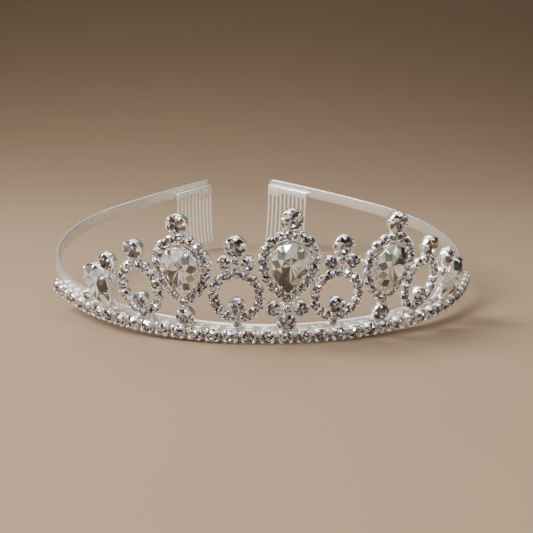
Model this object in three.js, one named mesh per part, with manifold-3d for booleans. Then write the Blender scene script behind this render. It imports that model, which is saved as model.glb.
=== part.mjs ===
// A bridal tiara: a flat silver strip bent into an open hoop, with a side comb soldered inside each end, a
// row of small stones along the front, and nine claw-set ornaments that stand on it and lean outwards.
// Millimetres. +X to the right as seen from the front, +Y towards the open back of the hoop, +Z up. The
// tiara lies as it does on a table: on the bottom of its front row and on the tips of its combs.
import * as THREE from "three";
import { mergeVertices } from "three/addons/utils/BufferGeometryUtils.js";
import Module from "manifold-3d";

const wasm = await Module();
wasm.setup();

// Hoop: half of the strip's middle line, as tangent arcs from the front to one end.
const FRONT_RADIUS = 55;
const FRONT_SWEEP = 46;
const SIDE_RADIUS = 71;
const SIDE_SWEEP = 44;
const REAR_RADIUS = 78;
const REAR_SWEEP = 35;
const TAIL_RADIUS = 400;
const TAIL_LENGTH = 52.6;
const STRIP_THICKNESS = 1.2;
const STRIP_HEIGHT = 4;
const HOOP_STEP = 5;

// Film of solder between pieces that are fixed face to face.
const SOLDER = 0.2;

// Side combs.
const TEETH = 10;
const TOOTH_PITCH = 2.15;
const TOOTH_RADIUS = 0.55;
const COMB_DEPTH = 24;
const COMB_STRAIGHT = 14.5;
const COMB_CURL = 1.6;
const RAIL_TOP = 0.1;
const RAIL_HEIGHT = 2.8;
const RAIL_THICKNESS = 1.3;
const LUG_LENGTH = 6;
const LUG_HEIGHT = 4.4;

// Row of small stones on the front of the strip.
const ROW_STONES = 37;
const ROW_PITCH = 4;
const ROW_HEIGHT = 3.3;
const ROW_DEPTH = 1.9;
const ROW_WALL = 0.35;
const ROW_DROP = 0.25;
const ROW_FALL = 0.045;

// Ornaments: how far they lean out, how deep their cups are and how thick the cups' walls and floors are.
const LEAN = 10;
const CUP_DEPTH = 2.2;
const CUP_WALL = 0.25;
const CUP_FLOOR = 0.5;
const CUP_LAP = 0.12;
const STONE_PLAY = 0.1;
const BAR_WIDTH = 1.1;

// Cut of the stones: width of the table and of the culet, and height of the crown, as shares of their width.
const TABLE_SHARE = 0.6;
const CULET_SHARE = 0.35;
const CROWN_SHARE = 0.18;

// Pear-shaped crystals and the claws that hold them.
const PEAR_WIDTH = 8.2;
const PEAR_LENGTH = 12;
const PEAR_CUP_DEPTH = 2.7;
const CLAW_SIZE = 0.5;
const CLAW_RISE = 0.8;
const HALO_CLAWS = 6;
const END_CLAWS = 8;
const END_PEAR_TILT = 14;

// Chains of small cups that make the halos and the rings, with the longest pitch that they allow.
const CHAIN_CUP = 2.5;
const CHAIN_PITCH = 2.42;
const CHAIN_DEPTH = 1.4;
const CHAIN_WALL = 0.22;
const CHAIN_LAP = 0.16;
const HALO_GAP = 1.6;
const INNER_RING_WIDTH = 10.4;
const INNER_RING_HEIGHT = 11.3;
const OUTER_RING_WIDTH = 9.8;
const OUTER_RING_HEIGHT = 12.4;

// Diameters of the round stones.
const TOP_STONE = 4.6;
const END_TOP_STONE = 4.4;
const BASE_STONE = 4.2;
const INSIDE_STONE = 3.7;
const SIDE_STONE = 3.3;
const SHOULDER_STONE = 3;
const OUTBOARD_STONE = 2.9;
const LINK_STONE = 1.9;
const FOOT_STONE = 1.6;

// How far the outline of each ornament tucks in beside the one before it, and its clearance over the row.
const INNER_TUCK = 2.3;
const CLUSTER_TUCK = 0.2;
const PEAR_TUCK = 1.4;
const OUTER_TUCK = 1.75;
const END_GAP = 2.2;
const FOOT_CLEAR = 0.2;
const INNER_RING_LIFT = 1.5;
const FOOT_DEPTH = 1.2;
const SHOULDER_SPREAD = 2.6;
const SHOULDER_RISE = 2.8;
const INNER_TOP_RISE = 6.8;
const SIDE_SPREAD = 3.05;
const END_TOP_SPREAD = 4.4;
const END_TOP_RISE = 5.2;

const SILVER = { color: 0xd9d9dc, roughness: 0.28, metalness: 1 };
const CRYSTAL = { color: 0xf2f5f7, roughness: 0.04, metalness: 0 };
const CUP_SIDES = 8;
const CHAIN_SIDES = 6;
const OUTLINE_POINTS = 64;
const STRIP_FACE = STRIP_THICKNESS / 2;
const radians = THREE.MathUtils.degToRad;

// The half hoop's arcs, each with its centre, starting on the last one's heading.
const arcs = [];
for (const [radius, sweep] of [
  [FRONT_RADIUS, radians(FRONT_SWEEP)],
  [SIDE_RADIUS, radians(SIDE_SWEEP)],
  [REAR_RADIUS, radians(REAR_SWEEP)],
  [TAIL_RADIUS, TAIL_LENGTH / TAIL_RADIUS],
]) {
  const last = arcs.at(-1);
  const heading = last ? last.heading + last.sweep : 0;
  const from = last ? last.from + last.radius * last.sweep : 0;
  const shift = last ? radius - last.radius : radius;
  const x = (last ? last.x : 0) - shift * Math.sin(heading);
  const y = (last ? last.y : 0) + shift * Math.cos(heading);
  arcs.push({ radius, sweep, heading, from, x, y });
}
const HALF_LENGTH = arcs.at(-1).from + TAIL_LENGTH;

// Point of the hoop at arc position s (negative on the mirrored half), moved outwards, with its heading.
function hoopAt(s, outwards = 0) {
  const arc = arcs.findLast((a) => a.from <= Math.abs(s));
  const heading = arc.heading + (Math.abs(s) - arc.from) / arc.radius;
  const x = arc.x + (arc.radius + outwards) * Math.sin(heading);
  const y = arc.y - (arc.radius + outwards) * Math.cos(heading);
  return { x: s < 0 ? -x : x, y, heading };
}

// A group whose +X runs along the strip, +Y up it and +Z out of it, leaning outwards by an angle.
function seatAt(s, lean) {
  const { x, y, heading } = hoopAt(s);
  const along = new THREE.Vector3(Math.cos(heading), Math.sin(heading), 0);
  const out = new THREE.Vector3(Math.sin(heading), -Math.cos(heading), 0);
  const seat = new THREE.Group();
  const upright = new THREE.Matrix4().makeBasis(along, new THREE.Vector3(0, 0, 1), out);
  seat.quaternion.setFromRotationMatrix(upright);
  seat.rotateX(lean);
  seat.position.set(x, y, 0);
  return seat;
}

function solidOf(geometry) {
  const plain = geometry.clone();
  plain.deleteAttribute("normal");
  plain.deleteAttribute("uv");
  const merged = mergeVertices(plain, 1e-4);
  return new wasm.Manifold(
    new wasm.Mesh({
      numProp: 3,
      vertProperties: new Float32Array(merged.attributes.position.array),
      triVerts: new Uint32Array(merged.index.array),
    }),
  );
}

function geometryOf(solid) {
  const { vertProperties, triVerts } = solid.getMesh();
  const geometry = new THREE.BufferGeometry();
  geometry.setAttribute("position", new THREE.BufferAttribute(vertProperties, 3));
  geometry.setIndex(new THREE.BufferAttribute(triVerts, 1));
  return geometry.toNonIndexed();
}

const joined = (solids) => solids.reduce((sum, solid) => sum.add(solid));

function piece(name, geometry, finish) {
  geometry.computeVertexNormals();
  const mesh = new THREE.Mesh(geometry, new THREE.MeshStandardMaterial(finish));
  mesh.name = name;
  return mesh;
}

// A band that follows the hoop to an arc position on both halves, between two offsets and two heights.
function hoopBand(end, inner, outer, bottom, top) {
  const steps = 2 * Math.ceil(end / HOOP_STEP);
  const side = (offset) =>
    Array.from({ length: steps + 1 }, (_, i) => {
      const { x, y } = hoopAt(((2 * i) / steps - 1) * end, offset);
      return new THREE.Vector2(x, y);
    });
  const shape = new THREE.Shape([...side(outer), ...side(inner).reverse()]);
  const band = new THREE.ExtrudeGeometry(shape, { depth: top - bottom, bevelEnabled: false });
  return band.translate(0, 0, bottom);
}

// A round bar along +Z, from one level to another.
function drum(radius, from, to, x, y) {
  const bar = new THREE.CylinderGeometry(radius, radius, to - from, CUP_SIDES);
  return bar.rotateX(Math.PI / 2).translate(x, y, (from + to) / 2);
}

// A crystal turned about +Z: a pavilion that comes to a point, a girdle, and a crown up to a flat table.
function roundStone(diameter, culet, girdle, table) {
  const r = diameter / 2;
  const profile = [
    new THREE.Vector2(0, culet),
    new THREE.Vector2(r, girdle),
    new THREE.Vector2(TABLE_SHARE * r, table),
    new THREE.Vector2(0, table),
  ];
  return new THREE.LatheGeometry(profile, CUP_SIDES).rotateX(Math.PI / 2);
}

// One six-sided link of a chain about +Z, drawn out along +X until it laps its neighbours.
function chainLink(profile, width, pitch) {
  const link = new THREE.LatheGeometry(profile, CHAIN_SIDES).rotateX(Math.PI / 2).rotateZ(Math.PI / 2);
  return link.scale((pitch + CHAIN_LAP) / width, 1, 1);
}

function chainCup(width, pitch, from, to) {
  const r = width / 2;
  const profile = [
    new THREE.Vector2(0, from),
    new THREE.Vector2(r, from),
    new THREE.Vector2(r, to),
    new THREE.Vector2(0, to),
  ];
  return chainLink(profile, width, pitch);
}

function chainStone(width, pitch, culet, peak) {
  const profile = [
    new THREE.Vector2(0, culet),
    new THREE.Vector2(width / 2, (culet + peak) / 2),
    new THREE.Vector2(0, peak),
  ];
  return chainLink(profile, width, pitch);
}

// Outline of the pear, grown by a margin: a half circle over two arcs that meet at the tip. Its origin is
// the centre of the half circle, and the tip points down.
const PEAR_HEAD = PEAR_WIDTH / 2;
const PEAR_TIP = PEAR_LENGTH - PEAR_HEAD;
const FLANK_CENTRE = (PEAR_TIP ** 2 - PEAR_HEAD ** 2) / (2 * PEAR_HEAD);
const pearTip = (margin) => Math.sqrt((PEAR_HEAD + FLANK_CENTRE + margin) ** 2 - FLANK_CENTRE ** 2);

function pearOutline(margin, points) {
  const flank = PEAR_HEAD + FLANK_CENTRE + margin;
  const turn = Math.acos(FLANK_CENTRE / flank);
  const path = new THREE.Path();
  path.absarc(0, 0, PEAR_HEAD + margin, Math.PI / 2, 0, true);
  path.absarc(-FLANK_CENTRE, 0, flank, 0, -turn, true);
  path.absarc(FLANK_CENTRE, 0, flank, turn - Math.PI, -Math.PI, true);
  path.absarc(0, 0, PEAR_HEAD + margin, Math.PI, Math.PI / 2, true);
  return path.getSpacedPoints(points).slice(0, points);
}

// An oval ring's outline, evenly spaced and starting at its top.
function ovalOutline(width, height, points) {
  const path = new THREE.Path();
  path.absellipse(0, 0, width / 2, height / 2, Math.PI / 2, -1.5 * Math.PI, true, 0);
  return path.getSpacedPoints(points).slice(0, points);
}

// A prism over an outline, from one level to another.
function slab(outline, from, to) {
  const shape = new THREE.Shape(outline);
  const prism = new THREE.ExtrudeGeometry(shape, { depth: to - from, bevelEnabled: false });
  return prism.translate(0, 0, from);
}

// A prism over an outline whose one end is narrowed to a share of the other.
function taper(outline, from, to, bottomShare, topShare) {
  const prism = slab(outline, from, to);
  const position = prism.attributes.position;
  for (let i = 0; i < position.count; i++) {
    const share = position.getZ(i) > (from + to) / 2 ? topShare : bottomShare;
    position.setXY(i, position.getX(i) * share, position.getY(i) * share);
  }
  return prism;
}

// Levels in an ornament's own depth, out from the strip's middle line.
const BACK = (STRIP_FACE + SOLDER) / Math.cos(radians(LEAN));
const FLOOR = BACK + CUP_FLOOR;
const PEAR_RIM = BACK + PEAR_CUP_DEPTH;
const CHAIN_TOP = BACK + CHAIN_DEPTH;
const CHAIN_STONE = CHAIN_CUP - 2 * CHAIN_WALL;

// Arc position on the strip under a distance measured along the pears' rims, which stand further out.
const arcUnder = (spot) => (spot * FRONT_RADIUS) / (FRONT_RADIUS + PEAR_RIM);

// Builds an ornament in its own plane: its metal as one frame, and each stone in its pocket.
class Ornament {
  constructor(name, side, spot) {
    this.name = name;
    this.side = side;
    this.seat = seatAt(arcUnder(spot), radians(LEAN));
    this.metal = [];
    this.pockets = [];
  }

  label(part) {
    return [this.name, part, this.side].filter(Boolean).join("_");
  }

  stone(part, geometry) {
    this.seat.add(piece(this.label(part), geometry, CRYSTAL));
  }

  round(part, diameter, x, y, depth = CUP_DEPTH) {
    const rim = BACK + depth;
    this.metal.push(drum(diameter / 2 + CUP_WALL, BACK, rim, x, y));
    this.pockets.push(drum(diameter / 2 + STONE_PLAY, FLOOR, rim + CUP_DEPTH, x, y));
    const stone = roundStone(diameter, FLOOR + STONE_PLAY, rim, rim + CROWN_SHARE * diameter);
    this.stone(part, stone.translate(x, y, 0));
  }

  pear(x, y, tilt, claws) {
    const place = (geometry) => geometry.rotateZ(-tilt).translate(x, y, 0);
    const grown = (margin) => pearOutline(margin, 2 * CUP_SIDES);
    this.metal.push(place(slab(grown(CUP_WALL), BACK, PEAR_RIM)));
    this.pockets.push(place(slab(grown(STONE_PLAY), FLOOR, PEAR_RIM + CUP_DEPTH)));
    for (const foot of pearOutline(CUP_WALL, claws)) {
      const claw = new THREE.BoxGeometry(CLAW_SIZE, CLAW_SIZE, PEAR_CUP_DEPTH + CLAW_RISE);
      claw.translate(foot.x, foot.y, BACK + (PEAR_CUP_DEPTH + CLAW_RISE) / 2);
      this.metal.push(place(claw));
    }
    const pavilion = taper(grown(0), FLOOR + STONE_PLAY, PEAR_RIM, CULET_SHARE, 1);
    const crown = taper(grown(0), PEAR_RIM, PEAR_RIM + CROWN_SHARE * PEAR_WIDTH, 1, TABLE_SHARE);
    this.stone("pear", place(geometryOf(solidOf(pavilion).add(solidOf(crown)))));
  }

  // A closed chain of small cups around an outline, and a stone on each.
  chain(part, outlineOf, x, y) {
    const length = new THREE.Path(outlineOf(OUTLINE_POINTS)).closePath().getLength();
    const count = 2 * Math.ceil(length / CHAIN_PITCH / 2);
    const points = outlineOf(count);
    const stones = [];
    for (let i = 0; i < count; i++) {
      const ahead = points[(i + 1) % count].clone().sub(points[i]);
      const behind = points[i].clone().sub(points[(i + count - 1) % count]);
      const bend = behind.angleTo(ahead);
      const angle = ahead.clone().add(behind).angle();
      const place = (link) => link.rotateZ(angle).translate(x + points[i].x, y + points[i].y, 0);
      const culet = CHAIN_TOP + STONE_PLAY;
      const pitch = Math.max(ahead.length(), behind.length()) / Math.cos(bend / 2);
      const width = CHAIN_STONE / Math.cos(bend / 2);
      this.metal.push(place(chainCup(CHAIN_CUP, pitch, BACK, CHAIN_TOP)));
      stones.push(place(chainStone(width, pitch, culet, culet + CHAIN_STONE / 2)));
    }
    this.stone(part, geometryOf(joined(stones.map(solidOf))));
  }

  // A flat bar soldered across the backs of two cups.
  bar(x0, y0, x1, y1) {
    const length = Math.hypot(x1 - x0, y1 - y0) + BAR_WIDTH / 2;
    const strip = new THREE.BoxGeometry(length, BAR_WIDTH, CUP_FLOOR);
    strip.rotateZ(Math.atan2(y1 - y0, x1 - x0));
    this.metal.push(strip.translate((x0 + x1) / 2, (y0 + y1) / 2, BACK + CUP_FLOOR / 2));
  }

  finish() {
    const frame = joined(this.metal.map(solidOf)).subtract(joined(this.pockets.map(solidOf)));
    this.seat.add(piece(this.label("frame"), geometryOf(frame), SILVER));
    return this.seat;
  }
}

// How far a round cup, and a halo's top and tip, reach from their centres to where the next cup starts.
const reach = (diameter) => diameter / 2 + CUP_WALL - CUP_LAP / 2;
const HALO_TOP = PEAR_HEAD + HALO_GAP + CHAIN_CUP / 2;
const HALO_TIP = pearTip(HALO_GAP) + CHAIN_CUP / 2;

// Distance of each ornament from the middle of the front, each one tucked in beside the last.
const INNER_HALF = (INNER_RING_WIDTH + CHAIN_CUP) / 2;
const OUTER_HALF = (OUTER_RING_WIDTH + CHAIN_CUP) / 2;
const CENTRE_HALF = Math.max(HALO_TOP - INNER_TUCK, SIDE_SPREAD + reach(SIDE_STONE) - CLUSTER_TUCK);
const INNER_SPOT = CENTRE_HALF + INNER_HALF;
const PEAR_SPOT = INNER_SPOT + INNER_HALF - PEAR_TUCK + HALO_TOP;
const OUTER_SPOT = PEAR_SPOT + HALO_TOP - OUTER_TUCK + OUTER_HALF;
const END_SPOT = OUTER_SPOT + OUTER_HALF + END_GAP + PEAR_HEAD + CUP_WALL;

// Height at which a leaning cup starts, for the lower edge of its rim to clear the row.
const footOver = (row, rim) => (row + FOOT_CLEAR + rim * Math.sin(radians(LEAN))) / Math.cos(radians(LEAN));
const ROW_TOP = ROW_HEIGHT / 2 - ROW_DROP;
const ROW_TOP_AT_END = ROW_TOP - ROW_FALL * hoopAt(arcUnder(END_SPOT - PEAR_HEAD)).y;
const ORNAMENT_FOOT = footOver(ROW_TOP, BACK + CUP_DEPTH);
const END_FOOT = footOver(ROW_TOP_AT_END, PEAR_RIM);

// A pear in a halo whose tip ends at a height, with a round stone on top.
function haloPear(name, side, spot, tip) {
  const ornament = new Ornament(name, side, spot);
  const middle = tip + HALO_TIP;
  const top = middle + HALO_TOP + reach(TOP_STONE);
  const half = HALO_TOP - CHAIN_CUP / 2;
  ornament.pear(0, middle, 0, HALO_CLAWS);
  ornament.chain("halo_stones", (n) => pearOutline(HALO_GAP, n), 0, middle);
  ornament.round("top_stone", TOP_STONE, 0, top);
  ornament.bar(0, top, 0, tip);
  ornament.bar(-half, middle, half, middle);
  return ornament;
}

function centreOrnament() {
  const base = ORNAMENT_FOOT + reach(BASE_STONE);
  const link = base + reach(BASE_STONE) + reach(LINK_STONE);
  const ornament = haloPear("centre", "", 0, link + reach(LINK_STONE));
  ornament.round("link_stone", LINK_STONE, 0, link);
  ornament.round("base_stone", BASE_STONE, 0, base);
  ornament.round("side_stone_left", SIDE_STONE, -SIDE_SPREAD, link);
  ornament.round("side_stone_right", SIDE_STONE, SIDE_SPREAD, link);
  ornament.bar(-SIDE_SPREAD, link, SIDE_SPREAD, link);
  ornament.bar(0, base, 0, link + 2 * reach(LINK_STONE));
  return ornament.finish();
}

function sidePear(side) {
  const base = ORNAMENT_FOOT + reach(BASE_STONE);
  const tip = base + reach(BASE_STONE);
  const ornament = haloPear("side", side, PEAR_SPOT, tip);
  ornament.round("base_stone", BASE_STONE, 0, base);
  ornament.bar(0, base, 0, tip + CHAIN_CUP);
  return ornament.finish();
}

function innerRing(side) {
  const ornament = new Ornament("inner_ring", side, INNER_SPOT);
  const bottom = ORNAMENT_FOOT + INNER_RING_LIFT + CHAIN_CUP / 2;
  const crest = bottom + INNER_RING_HEIGHT;
  const top = crest + INNER_TOP_RISE;
  const inside = bottom + CHAIN_CUP / 2 + reach(INSIDE_STONE);
  const foot = ORNAMENT_FOOT + reach(FOOT_STONE);
  const ring = (n) => ovalOutline(INNER_RING_WIDTH, INNER_RING_HEIGHT, n);
  ornament.chain("stones", ring, 0, (bottom + crest) / 2);
  ornament.round("top_stone", TOP_STONE, 0, top);
  ornament.round("crest_stone", FOOT_STONE, 0, top - reach(TOP_STONE) - reach(FOOT_STONE));
  ornament.round("near_stone", SHOULDER_STONE, -SHOULDER_SPREAD, crest + SHOULDER_RISE);
  ornament.round("far_stone", SHOULDER_STONE, SHOULDER_SPREAD, crest + SHOULDER_RISE);
  ornament.round("inside_stone", INSIDE_STONE, 0, inside);
  ornament.round("foot_stone", FOOT_STONE, 0, foot, FOOT_DEPTH);
  ornament.bar(-SHOULDER_SPREAD, crest + SHOULDER_RISE, SHOULDER_SPREAD, crest + SHOULDER_RISE);
  ornament.bar(0, crest, 0, top);
  ornament.bar(0, foot, 0, inside);
  return ornament.finish();
}

function outerRing(side) {
  const ornament = new Ornament("outer_ring", side, OUTER_SPOT);
  const bottom = ORNAMENT_FOOT + CHAIN_CUP / 2;
  const crest = bottom + OUTER_RING_HEIGHT;
  const top = crest + CHAIN_CUP / 2 + reach(TOP_STONE);
  const inside = bottom + CHAIN_CUP / 2 + reach(INSIDE_STONE);
  const ring = (n) => ovalOutline(OUTER_RING_WIDTH, OUTER_RING_HEIGHT, n);
  ornament.chain("stones", ring, 0, (bottom + crest) / 2);
  ornament.round("top_stone", TOP_STONE, 0, top);
  ornament.round("inside_stone", INSIDE_STONE, 0, inside);
  ornament.bar(0, crest, 0, top);
  ornament.bar(0, bottom, 0, inside);
  return ornament.finish();
}

function endPear(side) {
  const ornament = new Ornament("end", side, END_SPOT);
  const tilt = radians(END_PEAR_TILT);
  const middle = END_FOOT + pearTip(CUP_WALL) * Math.cos(tilt);
  const crest = { x: -END_TOP_SPREAD, y: middle + END_TOP_RISE };
  const link = { x: crest.x - LINK_STONE / 2, y: crest.y - reach(END_TOP_STONE) - reach(LINK_STONE) };
  const outboard = { x: PEAR_HEAD + reach(OUTBOARD_STONE), y: END_FOOT + reach(OUTBOARD_STONE) };
  ornament.pear(0, middle, tilt, END_CLAWS);
  ornament.round("top_stone", END_TOP_STONE, crest.x, crest.y);
  ornament.round("link_stone", LINK_STONE, link.x, link.y);
  ornament.round("outboard_stone", OUTBOARD_STONE, outboard.x, outboard.y);
  for (const { x, y } of [crest, link, outboard]) ornament.bar(0, middle, x, y);
  return ornament.finish();
}

// The strip itself.
function hoop() {
  const half = STRIP_HEIGHT / 2;
  return piece("hoop_band", hoopBand(HALF_LENGTH, -STRIP_FACE, STRIP_FACE, -half, half), SILVER);
}

// Tips of the comb's teeth, measured from the middle of the comb.
const toothPlace = (i) => (i - (TEETH - 1) / 2) * TOOTH_PITCH;
const COMB_LENGTH = (TEETH - 1) * TOOTH_PITCH + 2 * TOOTH_RADIUS;
const COMB_AT = HALF_LENGTH - COMB_LENGTH / 2 - TOOTH_RADIUS;
const RAIL_FACE = -STRIP_FACE - SOLDER;
const TOOTH_PLANE = RAIL_FACE - RAIL_THICKNESS / 2;

function sideComb(side) {
  const seat = seatAt(COMB_AT, 0);
  const rail = new THREE.BoxGeometry(COMB_LENGTH, RAIL_HEIGHT, RAIL_THICKNESS);
  rail.translate(0, RAIL_TOP - RAIL_HEIGHT / 2, TOOTH_PLANE);
  const lug = new THREE.BoxGeometry(LUG_LENGTH, LUG_HEIGHT, RAIL_THICKNESS);
  lug.translate((COMB_LENGTH - LUG_LENGTH) / 2, RAIL_TOP - LUG_HEIGHT / 2, TOOTH_PLANE);
  const wire = new THREE.Shape().absarc(0, 0, TOOTH_RADIUS, 0, 2 * Math.PI);
  const parts = [rail, lug];
  for (let i = 0; i < TEETH; i++) {
    const x = toothPlace(i);
    const line = new THREE.QuadraticBezierCurve3(
      new THREE.Vector3(x, RAIL_TOP - RAIL_HEIGHT / 2, TOOTH_PLANE),
      new THREE.Vector3(x, -COMB_STRAIGHT, TOOTH_PLANE),
      new THREE.Vector3(x, -COMB_DEPTH, TOOTH_PLANE - COMB_CURL),
    );
    parts.push(new THREE.ExtrudeGeometry(wire, { steps: 4, curveSegments: 3, extrudePath: line }));
  }
  seat.add(piece("side_comb_" + side, geometryOf(joined(parts.map(solidOf))), SILVER));
  return seat;
}

// The row: a shallow channel that follows the strip and falls a little towards its ends, and its stones.
const ROW_BACK = STRIP_FACE + SOLDER;
const ROW_REACH = (ROW_STONES * ROW_PITCH) / 2;
const ROW_BOTTOM = ROW_TOP - ROW_HEIGHT;

function lower(geometry) {
  const fall = new THREE.Matrix4().makeShear(0, 0, 0, -ROW_FALL, 0, 0);
  return geometry.applyMatrix4(fall);
}

function rowChannel() {
  const wall = (bottom, upper) => hoopBand(ROW_REACH, ROW_BACK, ROW_BACK + ROW_DEPTH, bottom, upper);
  const floor = hoopBand(ROW_REACH, ROW_BACK, ROW_BACK + ROW_WALL, ROW_BOTTOM, ROW_TOP);
  const parts = [wall(ROW_BOTTOM, ROW_BOTTOM + ROW_WALL), wall(ROW_TOP - ROW_WALL, ROW_TOP), floor];
  return piece("base_row_channel", lower(geometryOf(joined(parts.map(solidOf)))), SILVER);
}

function rowStones() {
  const culet = ROW_BACK + ROW_WALL + STONE_PLAY;
  const middle = ROW_BOTTOM + ROW_HEIGHT / 2;
  const width = ROW_HEIGHT - 2 * ROW_WALL - 2 * STONE_PLAY;
  const pitch = ROW_PITCH * (1 + (culet + ROW_DEPTH) / FRONT_RADIUS);
  const stones = [];
  for (let i = 0; i < ROW_STONES; i++) {
    const s = (i - (ROW_STONES - 1) / 2) * ROW_PITCH;
    const { x, y, heading } = hoopAt(s);
    const stone = chainStone(width, pitch, culet, culet + ROW_DEPTH);
    stone.rotateX(Math.PI / 2).rotateZ(s < 0 ? -heading : heading);
    stones.push(stone.translate(x, y, middle));
  }
  return piece("base_row_stones", lower(geometryOf(joined(stones.map(solidOf)))), CRYSTAL);
}

// Angle at which the hoop lies when the row's front edge and the foremost comb tips touch the table.
function restTilt() {
  const tip = hoopAt(COMB_AT + toothPlace(0), TOOTH_PLANE - COMB_CURL);
  const front = -(ROW_BACK + ROW_DEPTH);
  return Math.atan2(COMB_DEPTH + ROW_BOTTOM - ROW_FALL * front, tip.y - front);
}

const tiara = new THREE.Group();
tiara.add(hoop(), rowChannel(), rowStones(), centreOrnament());
for (const [side, mirror] of [["right", 1], ["left", -1]]) {
  const half = new THREE.Group();
  half.scale.x = mirror;
  half.add(innerRing(side), sidePear(side), outerRing(side), endPear(side), sideComb(side));
  tiara.add(half);
}
tiara.rotation.x = restTilt();

// The origin is the middle of the box's bottom.
const part = new THREE.Group();
part.add(tiara);
part.updateMatrixWorld(true);
const box = new THREE.Box3().setFromObject(part, true);
tiara.position.set(-(box.min.x + box.max.x) / 2, -(box.min.y + box.max.y) / 2, -box.min.z);

export default part;
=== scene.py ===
"""A bridal tiara: silver strip, side combs, a front row of crystals and nine claw-set ornaments.

The strip's own frame is in millimetres: its front middle is the origin, +X runs to the right as seen from
the front, +Y to the open back and +Z up. From there each piece is laid on the table, in metres.
"""
import math

import bmesh
import bpy
import numpy as np
from mathutils import Matrix, Vector


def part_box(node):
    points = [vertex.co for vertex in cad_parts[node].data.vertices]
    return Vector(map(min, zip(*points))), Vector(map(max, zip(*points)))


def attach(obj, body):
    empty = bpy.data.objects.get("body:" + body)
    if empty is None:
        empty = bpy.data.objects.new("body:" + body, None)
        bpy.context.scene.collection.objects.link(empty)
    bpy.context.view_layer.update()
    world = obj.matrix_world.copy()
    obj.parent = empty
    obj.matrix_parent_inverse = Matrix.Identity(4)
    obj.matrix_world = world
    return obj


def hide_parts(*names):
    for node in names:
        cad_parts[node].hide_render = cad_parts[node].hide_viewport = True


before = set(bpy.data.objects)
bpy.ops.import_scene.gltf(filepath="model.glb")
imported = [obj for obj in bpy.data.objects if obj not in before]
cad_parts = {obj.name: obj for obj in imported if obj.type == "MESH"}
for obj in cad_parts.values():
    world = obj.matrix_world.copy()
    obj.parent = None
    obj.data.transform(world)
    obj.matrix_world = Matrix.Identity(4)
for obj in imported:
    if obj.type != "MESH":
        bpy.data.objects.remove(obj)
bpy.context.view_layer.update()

# ---------------------------------------------------------------------------------------------------------
# The strip: one flat silver-plated band with softened edges, bent into an open hoop. Its middle line is four
# tangent arcs a side, and everything else is soldered to it.
STRIP_ARCS = [(55, math.radians(46)), (71, math.radians(44)), (78, math.radians(35)), (400, 52.6 / 400)]
STRIP_THICK = 1.2
STRIP_HIGH = 4
STRIP_EDGE = 0.35
SOLDER = 0.2


def strip_line(s, out=0.0):
    """Points at arc lengths s along the strip, moved outwards, and their headings.

    On an arc the heading grows by length over radius, and a point is the arc's centre plus the radius times
    (sine, minus cosine) of the heading. The left half mirrors the right one.
    """
    s = np.asarray(s, float)
    ahead = np.abs(s)
    x, y, heading = (np.zeros_like(s) for _ in range(3))
    start = turn = cx = cy = last = 0.0
    for radius, sweep in STRIP_ARCS:
        cx -= (radius - last) * math.sin(turn)
        cy += (radius - last) * math.cos(turn)
        here = ahead >= start - 1e-9
        angle = turn + (ahead - start) / radius
        x = np.where(here, cx + (radius + out) * np.sin(angle), x)
        y = np.where(here, cy - (radius + out) * np.cos(angle), y)
        heading = np.where(here, angle, heading)
        start += radius * sweep
        turn += sweep
        last = radius
    return np.sign(s + 1e-12) * x, y, np.sign(s + 1e-12) * heading


STRIP_HALF = sum(radius * sweep for radius, sweep in STRIP_ARCS)

# On the table it lies on the bottom of the front row and on the tips of the foremost comb teeth, so the
# sizes of the row and of the combs set its tilt.
TEETH = 10
TOOTH_PITCH = 2.15
TOOTH_THICK = 1.1
COMB_DEEP = 24
COMB_CURL = 1.6
RAIL_THICK = 1.3
ROW_HIGH = 3.3
ROW_DEEP = 1.9
ROW_DROP = 0.25
ROW_FALL = 0.045
ROW_BACK = STRIP_THICK / 2 + SOLDER
comb_length = (TEETH - 1) * TOOTH_PITCH + TOOTH_THICK
comb_middle = STRIP_HALF - comb_length / 2 - TOOTH_THICK / 2
tooth_plane = -STRIP_THICK / 2 - SOLDER - RAIL_THICK / 2
row_front = ROW_BACK + ROW_DEEP
row_bottom = -ROW_DROP - ROW_HIGH / 2
tip_y = strip_line(comb_middle - (TEETH - 1) / 2 * TOOTH_PITCH, tooth_plane - COMB_CURL)[1]
tilt = math.atan2(COMB_DEEP + row_bottom + ROW_FALL * row_front, tip_y + row_front)

MILLIMETRE = 0.001
strip_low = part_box("hoop_band")[0]
front = np.array([0, -STRIP_THICK / 2, -STRIP_HIGH / 2])
top_front = front + (0, 0, STRIP_HIGH)
lay_down = np.array(Matrix.Rotation(tilt, 4, "X") @ Matrix.Scale(MILLIMETRE, 4))
lowest = lay_down[:3, :3] @ front
foremost = lay_down[:3, :3] @ top_front
lay_down[1, 3] = strip_low.y - min(foremost[1], lowest[1])
lay_down[2, 3] = strip_low.z - lowest[2]


def moved(points, place):
    """Points turned and shifted by a 4 by 4 matrix."""
    return points @ place[:3, :3].T + place[:3, 3]


def grid_faces(rows, columns, closed=True):
    """Four-sided faces of a grid whose points run row by row, with the last column joined to the first."""
    r, c = np.meshgrid(np.arange(rows - 1), np.arange(columns if closed else columns - 1), indexing="ij")
    right = (c + 1) % columns
    quads = [r * columns + c, r * columns + right, (r + 1) * columns + right, (r + 1) * columns + c]
    return np.stack(quads, -1).reshape(-1, 4).tolist()


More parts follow.
